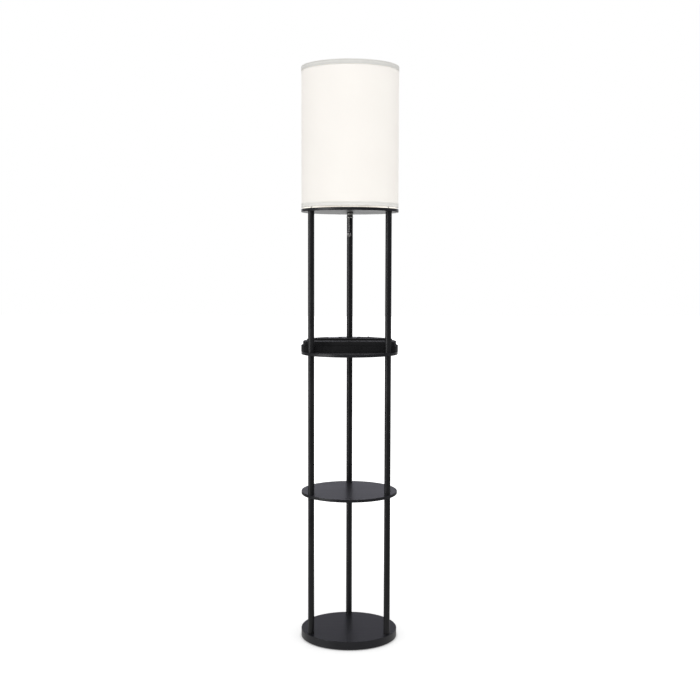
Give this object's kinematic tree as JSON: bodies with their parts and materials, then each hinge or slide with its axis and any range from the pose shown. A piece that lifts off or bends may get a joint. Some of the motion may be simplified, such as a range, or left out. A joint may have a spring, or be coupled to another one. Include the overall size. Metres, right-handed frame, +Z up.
{
  "type": "floor lamp",
  "caption": "Round etagere floor lamp: pull-chain drum shade over an open shelf, a power-outlet shelf and a weighted base on three tubular poles.",
  "frame": {"origin": "middle of the underside, on the floor", "axes": "+Z up, -Y towards the viewer (front), +X to the viewer's right"},
  "size_m": [0.2668, 0.2664, 1.57],
  "materials": {
    "black_board": "satin black melamine foil on fibreboard",
    "black_steel": "satin black powder coat on steel tube",
    "foam": "black EVA foam",
    "zinc_steel": "zinc plated",
    "black_screw": "black oxide",
    "black_moulding": "fine spark-eroded black moulding",
    "black_panel": "smooth satin black moulding",
    "black_gloss": "polished black moulding",
    "smoked_lens": "smoked lens",
    "circuit_green": "circuit board with parts",
    "black_rubber": "moulded bush",
    "dark_nut": "blackened steel nut",
    "nickel": "bright nickel plate",
    "nickel_satin": "satin nickel",
    "phenolic": "black phenolic",
    "brass": "bright brass",
    "bulb_white": "white lamp housing",
    "bulb_dome": "opal diffuser",
    "shade_liner": "white styrene lining",
    "linen": "warm white linen weave",
    "edge_tape": "grey-beige grosgrain edge tape",
    "white_steel": "white coated steel cup and wire",
    "lead_white": "clear-white two-core sheath"
  },
  "bodies": {
    "root": {"base_board": "black_board", "base_bolts": "zinc_steel", "base_pads": "foam", "bottom_tape": "edge_tape", "box_screws": "black_screw", "bulb_base": "nickel_satin", "bulb_dome": "bulb_dome", "bulb_housing": "bulb_white", "centre_contact": "brass", "chain_guide": "nickel", "circuit_board": "circuit_green", "cord_inlet": "black_rubber", "cup_screws": "zinc_steel", "holder_cap": "nickel_satin", "holder_ring": "phenolic", "lamp_lead": "lead_white", "lampholder": "phenolic", "lead_nipple": "black_screw", "lower_pole_left": "black_steel", "lower_pole_plugs": "zinc_steel", "lower_pole_rear": "black_steel", "lower_pole_right": "black_steel", "lower_studs": "zinc_steel", "mains_outlet": "black_panel", "middle_pole_left": "black_steel", "middle_pole_plugs": "zinc_steel", "middle_pole_rear": "black_steel", "middle_pole_right": "black_steel", "nipple_nuts": "zinc_steel", "outlet_panel": "black_panel", "pilot_lens": "smoked_lens", "power_box_body": "black_moulding", "power_box_lid": "black_moulding", "power_shelf_board": "black_board", "pull_switch": "black_moulding", "screw_shell": "brass", "shade_cloth": "linen", "shade_liner": "shade_liner", "shade_spider": "white_steel", "shade_top_ring": "white_steel", "shelf_board": "black_board", "socket_nipple": "zinc_steel", "switch_cup": "white_steel", "switch_frame": "black_gloss", "switch_nut": "dark_nut", "top_plate": "black_board", "top_screws": "black_screw", "top_tape": "edge_tape", "upper_pole_left": "black_steel", "upper_pole_plugs": "zinc_steel", "upper_pole_rear": "black_steel", "upper_pole_right": "black_steel", "upper_studs": "zinc_steel", "usb_module": "black_panel"},
    "chain_slider": {"chain_stem": "nickel"},
    "hanging_chain": {"pull_chain": "nickel", "chain_bob": "nickel"},
    "rocker": {"switch_rocker": "black_gloss"}
  },
  "joints": [
    {"name": "chain_pull", "type": "slide", "parent": "root", "child": "chain_slider", "axis": [0, 0, -1], "range_m": [0, 0.012], "stiffness_N_per_m": 200},
    {"name": "chain_swing", "type": "hinge", "parent": "chain_slider", "child": "hanging_chain", "pos_m": [-0.0026, 0, 1.169], "axis": [1, 0, 0], "range_deg": [-35, 35]},
    {"name": "rocker_flip", "type": "hinge", "parent": "root", "child": "rocker", "pos_m": [0.057, 0.088, 0.832], "axis": [0, -1, 0], "range_deg": [0, 24]}
  ]
}
